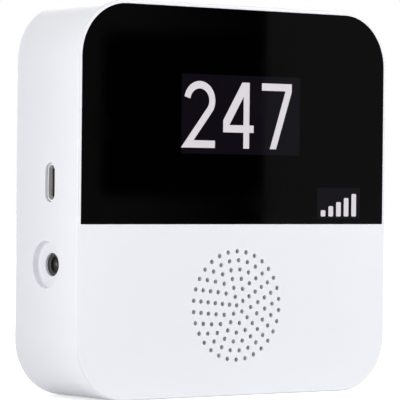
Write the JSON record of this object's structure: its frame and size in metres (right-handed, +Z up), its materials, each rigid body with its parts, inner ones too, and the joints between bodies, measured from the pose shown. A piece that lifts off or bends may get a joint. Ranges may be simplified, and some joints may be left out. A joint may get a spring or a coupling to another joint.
{
  "type": "medical alert base station",
  "caption": "Square free-standing alert receiver: rounded housing, glossy display window over a round speaker grille, side power and audio sockets, side buttons.",
  "frame": {"origin": "middle of the flat underside, under the centre of the housing", "axes": "+X to the right seen from the front, -Y out of the front face, +Z up"},
  "size_m": [0.095, 0.0274, 0.095],
  "materials": {
    "white_plastic": "satin moulded",
    "window_black": "polished",
    "tape_black": "matt",
    "light_box_white": "matt",
    "diffuser_white": "frosted",
    "lamp_yellow": "cast resin",
    "clear_acrylic": "clear",
    "board_green": "lacquered",
    "chip_black": "moulded",
    "tinned_steel": "tinned",
    "screw_steel": "zinc plated",
    "black_plastic": "moulded",
    "sleeve_nickel": "nickel plated",
    "cloth_black": "woven",
    "foam_black": "open cell",
    "speaker_steel": "black painted",
    "magnet_steel": "zinc plated",
    "cone_paper": "pressed",
    "rubber_black": "matt",
    "copper_wire": "enamelled",
    "terminal_brown": "laminate",
    "connector_white": "moulded",
    "lead_black": "insulated",
    "battery_foil": "foil",
    "button_white": "satin moulded",
    "switch_black": "moulded",
    "capacitor_can": "drawn"
  },
  "bodies": {
    "housing": {"front_housing": "white_plastic", "rear_cover": "white_plastic", "display_window": "window_black", "window_tape": "tape_black", "display_light_box": "light_box_white", "display_diffuser": "diffuser_white", "display_leds": "lamp_yellow", "signal_light_guide": "clear_acrylic", "signal_led": "lamp_yellow", "main_board": "board_green", "processor_chip": "chip_black", "amplifier_chip": "chip_black", "power_inductor": "chip_black", "radio_can": "tinned_steel", "wifi_board": "board_green", "wifi_can": "tinned_steel", "board_capacitors": "capacitor_can", "usb_c_shell": "tinned_steel", "usb_c_tongue": "black_plastic", "jack_body": "black_plastic", "jack_sleeve": "sleeve_nickel", "jack_contacts": "tinned_steel", "grille_cloth": "cloth_black", "speaker_gasket": "foam_black", "speaker_basket": "speaker_steel", "speaker_yoke": "magnet_steel", "speaker_magnet": "magnet_steel", "pole_plate": "magnet_steel", "speaker_surround": "rubber_black", "speaker_terminal": "terminal_brown", "speaker_connector": "connector_white", "speaker_leads": "lead_black", "backup_battery": "battery_foil", "battery_tape": "foam_black", "battery_connector": "connector_white", "battery_leads": "lead_black", "radio_antenna": "copper_wire", "microphone_boot": "rubber_black", "microphone": "tinned_steel", "microphone_leads": "lead_black", "upper_switch": "switch_black", "lower_switch": "switch_black", "cover_screws": "screw_steel", "board_screws": "screw_steel", "speaker_screws": "screw_steel"},
    "upper_key": {"upper_button": "button_white", "upper_plunger": "switch_black"},
    "lower_key": {"lower_button": "button_white", "lower_plunger": "switch_black"},
    "cone": {"speaker_cone": "cone_paper", "voice_coil": "copper_wire", "dust_cap": "cone_paper"}
  },
  "joints": [
    {"name": "upper_key_slide", "type": "slide", "parent": "housing", "child": "upper_key", "axis": [-1, 0, 0], "range_m": [0, 0.0004], "stiffness_N_per_m": 1500},
    {"name": "lower_key_slide", "type": "slide", "parent": "housing", "child": "lower_key", "axis": [-1, 0, 0], "range_m": [0, 0.0004], "stiffness_N_per_m": 1500},
    {"name": "cone_travel", "type": "slide", "parent": "housing", "child": "cone", "axis": [0, -1, 0], "range_m": [-0.0004, 0.0004], "stiffness_N_per_m": 1500, "deforming": ["speaker_surround"]}
  ]
}
